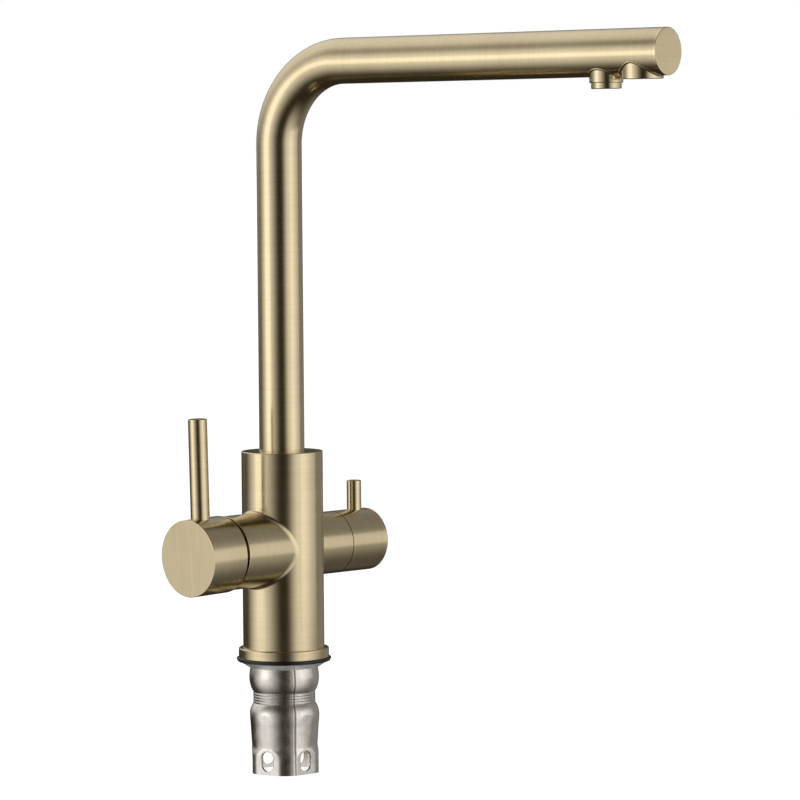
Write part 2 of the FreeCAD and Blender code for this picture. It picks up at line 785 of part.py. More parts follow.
def filter_moving_disc():
    radius = valve_radius - valve_wall - loose_gap
    start = valve_start + valve_disc_thickness
    disc = filter_turned([
        (0, start), (radius, start), (radius, start + valve_disc_thickness),
        (0, start + valve_disc_thickness)])
    openings = filter_quadrants(start)
    openings.rotate(branch_point(0, 0), Vector(1, 0, 0), 90)
    return disc.cut(openings)


def filter_spindle():
    start = valve_start + 2 * valve_disc_thickness
    foot_radius = valve_radius - valve_wall - loose_gap
    spindle = filter_turned([
        (0, start), (foot_radius, start), (foot_radius, start + valve_foot_height),
        (spindle_radius, start + valve_foot_height), (spindle_radius, spindle_end), (0, spindle_end)])
    openings = filter_quadrants(start)
    openings.rotate(branch_point(0, 0), Vector(1, 0, 0), 90)
    return spindle.cut(openings)


def knob_barrel():
    cavity = knob_radius - knob_wall
    socket = spindle_radius + bore_gap
    barrel = filter_turned([
        (socket, knob_floor), (cavity, knob_floor), (cavity, knob_start), (knob_radius, knob_start),
        (knob_radius, knob_end - knob_edge), (knob_radius - knob_edge, knob_end), (0, knob_end),
        (0, spindle_end), (socket, spindle_end)])
    seat_hole = rod(knob_rod_radius + bore_gap, branch_point(knob_rod_reach, knob_rod_seat),
                    branch_point(knob_rod_reach, knob_radius + 1))
    stud_hole = rod(knob_stud_radius + bore_gap,
                    branch_point(knob_rod_reach, knob_rod_seat - knob_stud_length),
                    branch_point(knob_rod_reach, knob_rod_seat + 1))
    screw_hole = rod(knob_screw_radius, branch_point(knob_screw_reach, -knob_radius - 1),
                     branch_point(knob_screw_reach, 0))
    return cut(barrel, [seat_hole, stud_hole, screw_hole])


def knob_lever_rod():
    return upright_rod(knob_rod_radius, knob_stud_radius, knob_stud_length, knob_rod_top,
                       knob_rod_seat, rod_edge, knob_rod_reach)


def knob_grub_screw():
    return hex_socket_screw(
        knob_screw_radius - bore_gap, branch_point(knob_screw_reach, screw_inset - knob_radius),
        branch_point(knob_screw_reach, -spindle_radius))


# Spout

def bent_line(outer, bore, start, arm_stop):
    """Round tube or bar up the axis, round the bend and along the arm, drawn towards -Y."""
    profile = Part.Face(Part.Wire(Part.makeCircle(outer, Vector(0, 0, bend_start), up)))
    riser = Part.makeCylinder(outer, bend_start - start, Vector(0, 0, start), up)
    bend = profile.revolve(Vector(0, -bend_radius, bend_start), Vector(1, 0, 0), bend_angle)
    run = Vector(0, -1, 0)
    arm = Part.makeCylinder(outer, arm_stop - bend_setback, Vector(0, -bend_setback, arm_height), run)
    arm.rotate(Vector(0, 0, arm_height), Vector(1, 0, 0), -arm_rise)
    solid = join([riser, bend, arm])
    if bore:
        solid = solid.cut(bent_line(bore, 0, start - 1, arm_stop + 1))
    return solid


def arm_point(reach, drop):
    """Point below the level arm's axis, before the arm gets its rise and swivel."""
    return Vector(0, -reach, arm_height - drop)


def arm_turned(outline, reach):
    """Turned shape that hangs under the arm; the outline's heights count down from its axis."""
    shape = turned([(radius, -drop) for radius, drop in outline])
    shape.translate(arm_point(reach, 0))
    return shape


def arm_bar(radius, start, end):
    return rod(radius, arm_point(start, 0), arm_point(end, 0))


def spout_tube():
    tube = swivelled(bent_line(tube_radius, tube_bore, tube_bottom, arm_end))
    depth = tube_radius + 1
    mixed_hole = rod(mixed_bore, arm_point(mixed_outlet_reach, 0), arm_point(mixed_outlet_reach, depth))
    filter_hole = rod(filter_plug_radius, arm_point(filter_outlet_reach, 0),
                      arm_point(filter_outlet_reach, depth))
    return cut(tube, [on_arm(mixed_hole), on_arm(filter_hole)])


def spout_end_cap():
    plug = arm_bar(tube_bore - bore_gap, arm_end - cap_plug_length, arm_end)
    disc = turned([
        (0, arm_end), (tube_radius, arm_end), (tube_radius, arm_reach - cap_edge),
        (tube_radius - cap_edge, arm_reach), (0, arm_reach)])
    disc.Placement = Placement(arm_point(0, 0), Rotation(up, Vector(0, -1, 0)))
    return on_arm(join([plug, disc]))


def groove_outline(radius, depth, low, height):
    return [(radius, low), (radius - depth, low), (radius - depth, low + height), (radius, low + height)]


def seal_heights():
    """Lower ends of the two O-ring grooves of the spigot."""
    spare = spigot_seal_length - 4 * seal_section
    return [spigot_bottom + spare / 4, spigot_bottom + 3 * spare / 4 + 2 * seal_section]


def spout_spigot():
    groove_low = collar_bottom + (collar_height - collar_groove_height) / 2
    outline = [(0, spigot_bottom), (spigot_radius, spigot_bottom)]
    for height in seal_heights():
        outline += groove_outline(spigot_radius, spigot_radius - seal_groove_radius, height,
                                  2 * (seal_section + bore_gap))
    outline += [(spigot_radius, collar_bottom), (tube_radius, collar_bottom)]
    outline += groove_outline(tube_radius, collar_groove_depth, groove_low, collar_groove_height)
    hub_top = tube_bottom + spigot_hub_length
    outline += [(tube_radius, tube_bottom), (tube_bore - bore_gap, tube_bottom),
                (tube_bore - bore_gap, hub_top), (0, hub_top)]
    feed_bore_top = spigot_bottom + 0.75 * spigot_seal_length
    centre = turned([
        (0, spigot_bottom - 1), (line_radius + turning_gap, spigot_bottom - 1),
        (line_radius + turning_gap, feed_bore_top), (line_radius - line_wall, feed_bore_top),
        (line_radius - line_wall, line_bottom()), (line_radius + bore_gap, line_bottom()),
        (line_radius + bore_gap, hub_top + 1), (0, hub_top + 1)])
    ways = [rod(spigot_way_radius, Vector(x, y, spigot_bottom - 1), Vector(x, y, hub_top + 1))
            for x, y in circle_points(spigot_way_count, spigot_way_circle)]
    return swivelled(cut(turned(outline), [centre] + ways))


def line_bottom():
    """Lower end of the filtered water line in the spigot's hub."""
    return tube_bottom + spigot_hub_length / 4


def spout_o_rings():
    major = seal_bore - bore_gap - seal_section
    return Part.makeCompound([o_ring(major, seal_section, height + seal_section + bore_gap)
                              for height in seal_heights()])


def spout_slide_ring():
    return ring(tube_radius, spigot_radius + turning_gap, seat_height, collar_bottom)


def spout_retaining_screw():
    height = retaining_screw_height()
    shoulder = tube_radius + loose_gap
    tip = tube_radius - collar_groove_depth + loose_gap
    start = Vector(0, body_radius - screw_inset, height)
    body = hex_socket_screw(screw_radius - bore_gap, start, Vector(0, shoulder, height))
    return join([body, rod(screw_dog_radius, Vector(0, shoulder, height), Vector(0, tip, height))])


def filter_feed_tube():
    top = spigot_bottom + 0.75 * spigot_seal_length - 1
    return ring(line_radius, line_radius - line_wall, feed_bottom, top)


def filter_inner_tube():
    """Filtered water line through the spout, with a close turn down at its outlet."""
    turn_start = filter_outlet_reach - line_drop_radius

    def line(radius, spare):
        straight = swivelled(bent_line(radius, 0, line_bottom() - spare, turn_start))
        profile = Part.Face(Part.Wire(Part.makeCircle(radius, arm_point(turn_start, 0), Vector(0, -1, 0))))
        turn = profile.revolve(arm_point(turn_start, line_drop_radius), Vector(1, 0, 0), 90)
        drop = rod(radius, arm_point(filter_outlet_reach, line_drop_radius),
                   arm_point(filter_outlet_reach, filter_plug_drop + spare))
        return join([straight, on_arm(turn), on_arm(drop)])

    return line(line_radius, 0).cut(line(line_radius - line_wall, 1))


def tube_bar():
    """Solid inside the arm's outer surface, to saddle the outlets on the tube."""
    return arm_bar(tube_radius, bend_setback, arm_reach + tube_radius)


def mixed_outlet_collar():
    collar = arm_turned([
        (mixed_bore, 0), (mixed_collar_radius, 0), (mixed_collar_radius, mixed_collar_drop),
        (mixed_bore, mixed_collar_drop)], mixed_outlet_reach)
    return on_arm(collar.cut(tube_bar()))


def perforated(disc, reach, drop, rings):
    """Drills rings of (count, radius) holes through an aerator's face."""
    holes = [rod(aerator_hole, arm_point(reach, drop + 1), arm_point(reach, drop - 3))]
    for count, radius in rings:
        for x, y in circle_points(count, radius):
            start = arm_point(reach, drop + 1) + Vector(x, y, 0)
            holes.append(rod(aerator_hole, start, start + Vector(0, 0, 4)))
    return cut(disc, holes)


def mixed_aerator():
    radius = mixed_bore - bore_gap
    low = mixed_collar_drop - mixed_aerator_inset
    high = low - mixed_aerator_height
    cup = arm_turned([
        (0, low - 1.5), (radius - 1.5, low - 1.5), (radius - 1.5, high), (radius, high), (radius, low),
        (radius - 1.2, low), (radius - 1.2, low - 0.5), (0, low - 0.5)], mixed_outlet_reach)
    spacing = (radius - 1.5) / 3.5
    rings = [(6 * index, spacing * index) for index in (1, 2, 3)]
    return on_arm(perforated(cup, mixed_outlet_reach, low, rings))


def filter_outlet_collar():
    plug_low = filter_plug_drop
    sleeve = arm_turned([
        (0, 0), (filter_collar_radius, 0), (filter_collar_radius, filter_collar_drop),
        (0, filter_collar_drop)], filter_outlet_reach).cut(tube_bar())
    plug = rod(filter_plug_radius, arm_point(filter_outlet_reach, plug_low - filter_plug_height),
               arm_point(filter_outlet_reach, plug_low))
    thread = rod(filter_bore, arm_point(filter_outlet_reach, plug_low),
                 arm_point(filter_outlet_reach, filter_collar_drop + 1))
    line_hole = rod(line_radius + bore_gap, arm_point(filter_outlet_reach, 0),
                    arm_point(filter_outlet_reach, filter_collar_drop))
    return on_arm(cut(join([sleeve, plug]), [thread, line_hole]))


def filter_aerator_shell():
    inner = filter_shell_radius - filter_shell_wall - 1
    thread = filter_bore - bore_gap
    low = filter_collar_drop + filter_shell_length
    return on_arm(arm_turned([
        (inner, filter_plug_drop + loose_gap), (thread, filter_plug_drop + loose_gap),
        (thread, filter_collar_drop), (filter_shell_radius, filter_collar_drop),
        (filter_shell_radius, low - 0.3), (filter_shell_radius - 0.3, low), (inner, low)],
        filter_outlet_reach))


def filter_aerator_insert():
    radius = filter_shell_radius - filter_shell_wall - 1 - bore_gap
    low = filter_collar_drop + filter_shell_length - filter_insert_inset
    high = filter_plug_drop + 2 * loose_gap
    cup = arm_turned([
        (0, low - 1.2), (radius - 1, low - 1.2), (radius - 1, high), (radius, high), (radius, low),
        (0, low)], filter_outlet_reach)
    spacing = (radius - 1) / 2.5
    rings = [(6 * index, spacing * index) for index in (1, 2)]
    return on_arm(perforated(cup, filter_outlet_reach, low, rings))


nodes = [
    base_gasket, base_ring, threaded_shank, tap_body, fixing_washer, fixing_nut,
    cartridge_housing, cartridge_seals, fixed_ceramic_disc, moving_ceramic_disc, disc_driver,
    clamp_ring, temperature_carrier, lever_cross_pin, lever_spindle, handle_barrel,
    handle_lever_rod, handle_grub_screw, filter_valve_seal, filter_valve_body, filter_fixed_disc,
    filter_moving_disc, filter_spindle, knob_barrel, knob_lever_rod, knob_grub_screw, spout_tube,
    spout_end_cap, spout_spigot, spout_o_rings, spout_slide_ring, spout_retaining_screw,
    filter_feed_tube, filter_inner_tube, mixed_outlet_collar, mixed_aerator, filter_outlet_collar,
    filter_aerator_shell, filter_aerator_insert]

for make in nodes:
    shape = make()
    shape.exportStep("parts/" + make.__name__ + ".step")
    print(make.__name__, "solids", len(shape.Solids), "volume", round(shape.Volume), shape.isValid())
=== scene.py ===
import bmesh
import bpy
import numpy as np
from mathutils import Matrix, Vector


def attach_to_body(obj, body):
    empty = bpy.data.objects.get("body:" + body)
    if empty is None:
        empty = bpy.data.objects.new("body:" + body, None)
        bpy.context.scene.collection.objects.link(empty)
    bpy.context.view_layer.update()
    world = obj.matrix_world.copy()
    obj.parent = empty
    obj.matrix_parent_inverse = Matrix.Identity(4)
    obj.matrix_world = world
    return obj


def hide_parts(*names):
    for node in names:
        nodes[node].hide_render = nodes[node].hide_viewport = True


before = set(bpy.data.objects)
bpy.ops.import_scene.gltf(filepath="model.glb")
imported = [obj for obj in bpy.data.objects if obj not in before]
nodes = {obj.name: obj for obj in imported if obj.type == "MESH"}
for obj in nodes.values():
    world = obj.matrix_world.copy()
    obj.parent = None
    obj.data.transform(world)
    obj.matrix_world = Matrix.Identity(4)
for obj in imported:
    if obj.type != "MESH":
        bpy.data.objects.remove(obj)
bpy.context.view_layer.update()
mm = 0.001
print("frame loaded, nodes:", len(nodes))


class Flow:
    # wraps a socket, so that an expression on values adds its Math nodes
    def __init__(self, tree, socket=None):
        self.tree, self.socket = tree, socket

    def node(self, kind, settings=None, values=None, output=0):
        # adds a node: settings first, then the values or links of its sockets
        made = self.tree.nodes.new(kind)
        for name, value in (settings or {}).items():
            setattr(made, name, value)
        for name, value in (values or {}).items():
            if isinstance(value, Flow):
                self.tree.links.new(value.socket, made.inputs[name])
            else:
                made.inputs[name].default_value = value
        return Flow(self.tree, made.outputs[output] if made.outputs else None)

    def calc(self, operation, *others):
        return self.node("ShaderNodeMath", {"operation": operation}, dict(enumerate((self, *others))))

    def __add__(self, other): return self.calc("ADD", other)
    def __mul__(self, other): return self.calc("MULTIPLY", other)
    def __sub__(self, other): return self.calc("SUBTRACT", other)
    def __truediv__(self, other): return self.calc("DIVIDE", other)
    def __neg__(self): return self * -1.0
    def __rsub__(self, other): return -self + other
    __radd__, __rmul__ = __add__, __mul__

    def step(self, low, high):
        # smooth rise from 0 at low to 1 at high
        return self.node("ShaderNodeMapRange", {"interpolation_type": "SMOOTHSTEP"},
                         {0: self, 1: low, 2: high, 3: 0.0, 4: 1.0})

    def bell(self, middle, width):
        # bell curve, 1 at the middle and 0.37 at a width from it
        away = (self - middle) / width
        return (away * away * -1.0).calc("EXPONENT")

    def parts(self):
        split = self.node("ShaderNodeSeparateXYZ", None, {0: self}).socket.node
        return [Flow(self.tree, end) for end in split.outputs]

    def scaled(self, amounts):
        return self.node("ShaderNodeVectorMath", {"operation": "MULTIPLY"}, {0: self, 1: amounts})

    def dot(self, direction):
        return self.node("ShaderNodeVectorMath", {"operation": "DOT_PRODUCT"},
                         {0: self, 1: direction}, "Value")

    def noise(self, scale, detail=2.0, fourth=None):
        values = {"Vector": self, "Scale": scale, "Detail": detail, "Roughness": 0.55}
        if fourth is not None:
            values["W"] = fourth
        return self.node("ShaderNodeTexNoise", {"noise_dimensions": "3D" if fourth is None else "4D"}, values)

    def blend(self, first, second):
        # colour mix, with this value as the factor
        return self.node("ShaderNodeMix", {"data_type": "RGBA"}, {0: self, 6: first, 7: second}, 2)


def newMaterial(name):
    material = bpy.data.materials.new(name)
    material.use_nodes = True
    material.node_tree.nodes.clear()
    return material, Flow(material.node_tree)


def surface(flow, shader):
    flow.node("ShaderNodeOutputMaterial", None, {"Surface": shader})


def finishMaterial(flow, values, height=None, depth=0.0):
    # Principled surface; depth is in metres and height runs from 0 to 1
    if height is not None:
        values = dict(values, Normal=flow.node("ShaderNodeBump", None,
                      {"Strength": 1.0, "Distance": depth, "Height": height}))
    surface(flow, flow.node("ShaderNodeBsdfPrincipled", None, values))


goldFinish = {
    "light": (0.80, 0.67, 0.43), "dark": (0.68, 0.56, 0.345),
    "roughness": 0.2, "grainRoughness": 0.10, "cloudRoughness": 0.10, "coat": 0.25, "grainDepth": 0.006 * mm,
    "fine": 2600.0, "slow": 30.0, "broadShare": 0.22, "cloud": 26.0}


def brushedGold(name, acrossOf, depthScale=1.0, lift=1.0):
    # satin grain: noise that changes fast across the brush marks and slowly along them; lift multiplies the
    # colours, painted light that makes a lighter copy of the gold
    material, flow = newMaterial(name)
    spot = flow.node("ShaderNodeTexCoord", None, None, "Object")
    across = acrossOf(spot, flow)
    slow = spot.scaled((goldFinish["slow"],) * 3)
    fine = slow.noise(1.0, 1.0, across * goldFinish["fine"])
    broad = slow.noise(0.8, 2.0, across * (goldFinish["fine"] * goldFinish["broadShare"]))
    cloud = spot.noise(goldFinish["cloud"], 3.0)
    grain = fine * 0.6 + broad * 0.4
    tone = (grain * 0.75 + cloud * 0.5 - 0.125).step(0.25, 0.75)
    dark, light = ([lift * value for value in goldFinish[shade]] + [1] for shade in ("dark", "light"))
    rough = (grain - 0.5) * goldFinish["grainRoughness"] + (cloud - 0.5) * goldFinish["cloudRoughness"]
    finishMaterial(flow, {
        "Base Color": tone.blend(dark, light), "Metallic": 1.0, "Roughness": rough + goldFinish["roughness"],
        "Coat Weight": goldFinish["coat"], "Coat Roughness": 0.2},
        fine, goldFinish["grainDepth"] * depthScale)
    return material


def alongAxis(direction):
    # brush marks run round an axis, so the grain changes along it
    return lambda spot, flow: spot.dot(direction)


def bodyGrain(spot, flow):
    # round the upright axis on the body, and round the branch axis outside it
    x, y, z = spot.parts()
    radius = (x * x + y * y).calc("SQRT")
    onBranch = radius.step((branches["body"] + 0.02) * mm, (branches["body"] + 0.12) * mm)
    return x * onBranch + z * (1.0 - onBranch)


def plainMetal(name, light, dark, roughness, scale=160.0, metal=1.0):
    # cloudy tone and gloss with a fine grain
    material, flow = newMaterial(name)
    spot = flow.node("ShaderNodeTexCoord", None, None, "Object")
    cloud = spot.noise(scale, 3.0)
    fine = spot.noise(2400.0, 2.0)
    finishMaterial(flow, {
        "Base Color": cloud.blend(dark, light), "Metallic": metal,
        "Roughness": (cloud - 0.5) * 0.15 + (fine - 0.5) * 0.1 + roughness}, fine, 0.006 * mm)
    return material


def plainSolid(name, light, dark, roughness, grainScale=900.0, depth=0.02 * mm):
    # rubber, plastic or ceramic: cloudy tone with a moulded grain
    material, flow = newMaterial(name)
    spot = flow.node("ShaderNodeTexCoord", None, None, "Object")
    cloud = spot.noise(90.0, 3.0)
    grain = spot.noise(grainScale, 3.0)
    finishMaterial(flow, {
        "Base Color": (cloud * 0.6 + grain * 0.4).blend(dark, light), "Metallic": 0.0,
        "Roughness": (grain - 0.5) * 0.2 + (cloud - 0.5) * 0.1 + roughness}, grain, depth)
    return material


# the edge colour is the painted highlight beside the weld seam, a few degrees from it on each side
steelFinish = {"light": (0.90, 0.85, 0.79, 1), "dark": (0.72, 0.67, 0.61, 1), "seam": (0.16, 0.09, 0.05, 1),
               "edge": (1.0, 0.93, 0.84, 1), "seamTurn": -116.4, "seamWidth": 1.2, "seamHighlightGap": 3.2,
               "roughness": 0.24, "depth": 0.05 * mm}


def rolledSteel(name):
    # mottled satin steel tube with an upright weld seam and a painted highlight line of lighter colour on
    # each side of it; the seam is found from the angle round Z, in degrees
    material, flow = newMaterial(name)
    spot = flow.node("ShaderNodeTexCoord", None, None, "Object")
    x, y, z = spot.parts()
    turn = y.calc("ARCTAN2", x) * (180 / np.pi) + (spot.noise(120.0, 2.0) - 0.5) * 2.0
    middle, gap, width = steelFinish["seamTurn"], steelFinish["seamHighlightGap"], steelFinish["seamWidth"]
    seam = turn.bell(middle, width)
    # edge: painted highlight lines beside the seam in Base Color, and also a ridge in the bump
    edge = turn.bell(middle + gap, width) + turn.bell(middle - gap, 1.0) * 0.7
    cloud = spot.noise(210.0, 4.0)
    streak = spot.scaled((1.0, 1.0, 0.12)).noise(700.0, 3.0)
    tone = (cloud * 0.7 + streak * 0.3).step(0.3, 0.7)
    plain = tone.blend(steelFinish["dark"], steelFinish["light"])
    # painted highlight: beside the seam the steel is mixed towards the light edge colour
    seamHighlighted = (edge * 0.8).blend(plain, steelFinish["edge"])
    finishMaterial(flow, {
        "Base Color": (seam * 0.9).blend(seamHighlighted, steelFinish["seam"]), "Metallic": 1.0,
        "Roughness": (cloud - 0.5) * 0.25 + (streak - 0.5) * 0.12 + seam * 0.2 + steelFinish["roughness"]},
        streak * 0.25 + cloud * 0.25 + edge * 0.5, steelFinish["depth"])
    return material


def gridFaces(rows, columns, wrapU, wrapV, first):
    # each cell of the grid is one face of four neighbouring points
    u = np.arange(rows if wrapU else rows - 1)
    v = np.arange(columns if wrapV else columns - 1)
    u, v = (axis.ravel() for axis in np.meshgrid(u, v, indexing="ij"))
    u2, v2 = (u + 1) % rows, (v + 1) % columns
    return first + np.stack([u * columns + v, u2 * columns + v, u2 * columns + v2, u * columns + v2], 1)


def gridPiece(name, grids, material, wrapU=False, wrapV=True):
    # grids are arrays (u, v, 3) in metres, or (array, wrapU, wrapV); shared borders are merged, and edges
    # that bend by more than 40 degrees stay sharp
    grids = [grids] if isinstance(grids, np.ndarray) else grids
    grids = [grid if isinstance(grid, tuple) else (grid, wrapU, wrapV) for grid in grids]
    faces, first = [], 0
    for points, roundU, roundV in grids:
        faces.append(gridFaces(*points.shape[:2], roundU, roundV, first))
        first += points.shape[0] * points.shape[1]
    mesh = bpy.data.meshes.new(name)
    mesh.from_pydata(np.concatenate([grid[0].reshape(-1, 3) for grid in grids]), [], np.concatenate(faces))
    shape = bmesh.new()
    shape.from_mesh(mesh)
    bmesh.ops.remove_doubles(shape, verts=shape.verts, dist=2e-7)
    bmesh.ops.recalc_face_normals(shape, faces=shape.faces)
    shape.to_mesh(mesh)
    shape.free()
    mesh.shade_smooth()
    mesh.set_sharp_from_angle(angle=np.radians(40))
    mesh.materials.append(material)
    piece = bpy.data.objects.new(name, mesh)
    bpy.context.scene.collection.objects.link(piece)
    return piece


def roundedProfile(corners):
    # corners are (radius, height, rounding): each is cut back and joined by a curve through its
    # own control point, with a support point beside it that keeps the flat faces flat
    corners = np.array(corners, float)
    place, rounding = corners[:, :2], corners[:, 2]
    before, after = np.roll(place, 1, 0) - place, np.roll(place, -1, 0) - place
    before /= np.linalg.norm(before, axis=1)[:, None] + 1e-12
    after /= np.linalg.norm(after, axis=1)[:, None] + 1e-12
    t = np.linspace(0, 1, 6)[None, :, None]
    support = 0.15   # mm from the curve's ends
    start = (place + before * rounding[:, None])[:, None]
    end = (place + after * rounding[:, None])[:, None]
    curve = (1 - t) ** 2 * start + 2 * t * (1 - t) * place[:, None] + t ** 2 * end
    first = start + before[:, None] * support
    last = end + after[:, None] * support
    return np.concatenate([first, curve, last], 1).reshape(-1, 2)


def turnedPiece(name, corners, material, origin=(0, 0, 0), axis=(0, 0, 1)):
    # a rounded profile carried round an axis: point = origin + height * axis + radius * (turning direction)
    profile = roundedProfile(corners) * mm
    along = np.array(axis, float) / np.linalg.norm(axis)
    side = np.cross(along, (0, 1, 0) if abs(along[1]) < 0.9 else (0, 0, 1))
    side /= np.linalg.norm(side)
    other = np.cross(along, side)
    turn = np.linspace(0, 2 * np.pi, 128, endpoint=False)
    spoke = np.cos(turn)[:, None] * side + np.sin(turn)[:, None] * other
    points = (np.array(origin) * mm + profile[:, 1, None, None] * along
              + profile[:, 0, None, None] * spoke[None])
    return gridPiece(name, points, material, wrapU=True)


def attach(piece, body, slot, *stands):
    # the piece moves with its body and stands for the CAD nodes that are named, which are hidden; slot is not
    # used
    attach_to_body(piece, body)
    if stands:
        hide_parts(*stands)


spout = {"radius": 12.5, "wall": 1.2, "bend": 45.5, "armHeight": 329.85, "rise": 0.53, "swivel": 7.18,
         "bottom": 107.0, "end": 254.3, "reach": 255.8, "plug": 3.5, "plugGap": 0.02, "around": 96}
swivel, rise = np.radians(spout["swivel"]), np.radians(spout["rise"])
outward = np.array([np.sin(swivel), -np.cos(swivel), 0])   # level direction of the arm
sideways = np.array([np.cos(swivel), np.sin(swivel), 0])
armLine = outward * np.cos(rise) + np.array([0, 0, np.sin(rise)])
bendAngle = np.pi / 2 - rise
bendSetback = spout["bend"] * np.tan(bendAngle / 2)
bendStart = spout["armHeight"] - bendSetback


def spoutSection(radius):
    # a circle carried up the riser, round the bend and out along the arm
    riser = np.linspace(spout["bottom"], bendStart, 40)
    turn = np.linspace(0, bendAngle, 73)[1:]
    arm = np.linspace(bendSetback, spout["end"], 48)[1:]
    level = np.concatenate([0 * riser, spout["bend"] * (1 - np.cos(turn)), arm * np.cos(rise)])
    high = np.concatenate([riser, bendStart + spout["bend"] * np.sin(turn),
                           spout["armHeight"] + arm * np.sin(rise)])
    lean = np.concatenate([0 * riser, turn, np.full(arm.shape, bendAngle)])
    centre = level[:, None] * outward + high[:, None] * np.array([0, 0, 1.0])
    inner = np.cos(lean)[:, None] * outward - np.sin(lean)[:, None] * np.array([0, 0, 1.0])
    angle = np.linspace(0, 2 * np.pi, spout["around"], endpoint=False)
    ring = (np.cos(angle)[None, :, None] * inner[:, None] + np.sin(angle)[None, :, None] * sideways)
    return (centre[:, None] + radius * ring) * mm


def buildSpout(gold, capGold):
    # outer and inner skin as one closed tube, which keeps each point's distance along the centreline,
    # counted from where the bend starts
    outer = spoutSection(spout["radius"])
    bore = spoutSection(spout["radius"] - spout["wall"])
    tube = gridPiece("spoutTube", np.concatenate([outer, bore[::-1]]), gold, wrapU=True)
    spots = np.empty(len(tube.data.vertices) * 3)
    tube.data.vertices.foreach_get("co", spots)
    spots = spots.reshape(-1, 3)
    out = spots @ outward / mm
    lift = spots[:, 2] / mm - bendStart
    swept = np.clip(np.arctan2(lift, spout["bend"] - out), 0, bendAngle)
    along = np.where(lift < 0, lift, spout["bend"] * swept + np.maximum(out - bendSetback, 0) * (lift > 0))
    tube.data.attributes.new("alongTube", "FLOAT", "POINT").data.foreach_set("value", along * mm)
    attach(tube, "spout", "brushed_gold", "spout_tube")
    plug, back = spout["radius"] - spout["wall"] - spout["plugGap"], spout["end"] - spout["plug"]
    cap = turnedPiece("spoutEndCap", [
        (0, back, 0), (plug, back, 0.1), (plug, spout["end"], 0),
        (spout["radius"], spout["end"], 0.05), (spout["radius"], spout["reach"], 0.35),
        (0, spout["reach"], 0)], capGold, (0, 0, spout["armHeight"]), armLine)
    attach(cap, "spout", "brushed_gold", "spout_end_cap")


def alongTube(spot, flow):
    # distance along the spout's centreline, kept on the mesh
    return flow.node("ShaderNodeAttribute", {"attribute_name": "alongTube"}, None, "Fac")


# painted light: the end cap gets a lighter copy of the gold (lift 1.24)
buildSpout(brushedGold("goldSpout", alongTube, depthScale=0.7),
           brushedGold("goldEndCapPaintedLight", alongAxis((0, 0, 1)), depthScale=0.5, lift=1.24))
print("spout made")


base = {"ring": 25.0, "bore": 16.3, "recess": 22.52, "ringLow": 1.5, "ringTop": 7.0, "bodyLow": 4.0,
        "gasket": 26.2, "lip": 24.3, "lipDepth": 0.4, "lobe": 25.7, "lobeLow": -0.5, "lobeTop": 0.35,
        "washerHole": 16.5, "washerFoot": 19.2, "washerRim": 24.0, "washerTop": 0.1, "washerDepth": 4.0,
        "washerWall": 1.0}


def buildBase(gold, rubber, zinc):
    # three rounded profiles turned round Z: ring, gasket with its lower lobe, and dished washer
    ring = turnedPiece("baseRing", [
        (base["bore"], base["ringLow"], 0.1), (base["ring"], base["ringLow"], 0.25),
        (base["ring"], base["ringTop"], 0.8), (base["recess"], base["ringTop"], 0.12),
        (base["recess"], base["bodyLow"], 0), (base["bore"], base["bodyLow"], 0)], gold)
    attach(ring, "fixed_body", "brushed_gold", "base_ring")
    gasket = turnedPiece("baseGasket", [
        (base["bore"], base["lipDepth"], 0), (base["lip"], base["lipDepth"], 0.05),
        (base["lip"], base["lobeLow"], 0.15), (base["lobe"], base["lobeLow"], 0.35),
        (base["lobe"], base["lobeTop"], 0.1), (base["gasket"], base["lobeTop"], 0.3),
        (base["gasket"], base["ringLow"], 0.45), (base["bore"], base["ringLow"], 0)], rubber)
    attach(gasket, "fixed_body", "black_rubber", "base_gasket")
    top, wall = base["washerTop"], base["washerWall"]
    low = top - base["washerDepth"]
    washer = turnedPiece("fixingWasher", [
        (base["washerHole"], low, 0.1), (base["washerFoot"], low, 0.5), (base["washerRim"], top - wall, 0.3),
        (base["washerRim"], top, 0.3), (base["washerRim"] - wall, top, 0.2),
        (base["washerFoot"] - wall, low + wall, 0.4), (base["washerHole"], low + wall, 0.1)], zinc)
    attach(washer, "fixing_washer", "bright_steel", "fixing_washer")


rubber = plainSolid("blackRubber", (0.012, 0.012, 0.012, 1), (0.006, 0.006, 0.007, 1), 0.30, 1400.0)
zinc = plainMetal("zincWasher", (0.86, 0.86, 0.85, 1), (0.74, 0.74, 0.73, 1), 0.24, metal=0.6)
buildBase(brushedGold("goldBaseRing", alongAxis((0, 0, 1))), rubber, zinc)
print("base made")


nut = {"top": -3.9, "neck": 17.05, "wall": 0.97, "bulge": [(0, 1.61), (5.52, 2.3), (11.04, 1.38), (13.8, 0)],
       "second": [(19.8, 0), (22.2, 1.41), (26.4, 2.35), (31.8, 1.9)],
       "lower": [(31.8, 1.9), (44.0, 1.15), (47.6, 2.3), (58.6, 2.3)], "length": 58.6,
       "ridge": 0.25, "pitch": 1.5, "flat": 18.0, "flatRun": (40.0, 50.0), "flatRise": 0.5,
       "flats": 265.2 + 57.6 * np.arange(6), "slotWidth": 7.4, "slotHeight": 11.0, "slotDepth": 51.2,
       "patch": (43.0, 20.0), "soften": 0.02, "slotEdge": 0.2}


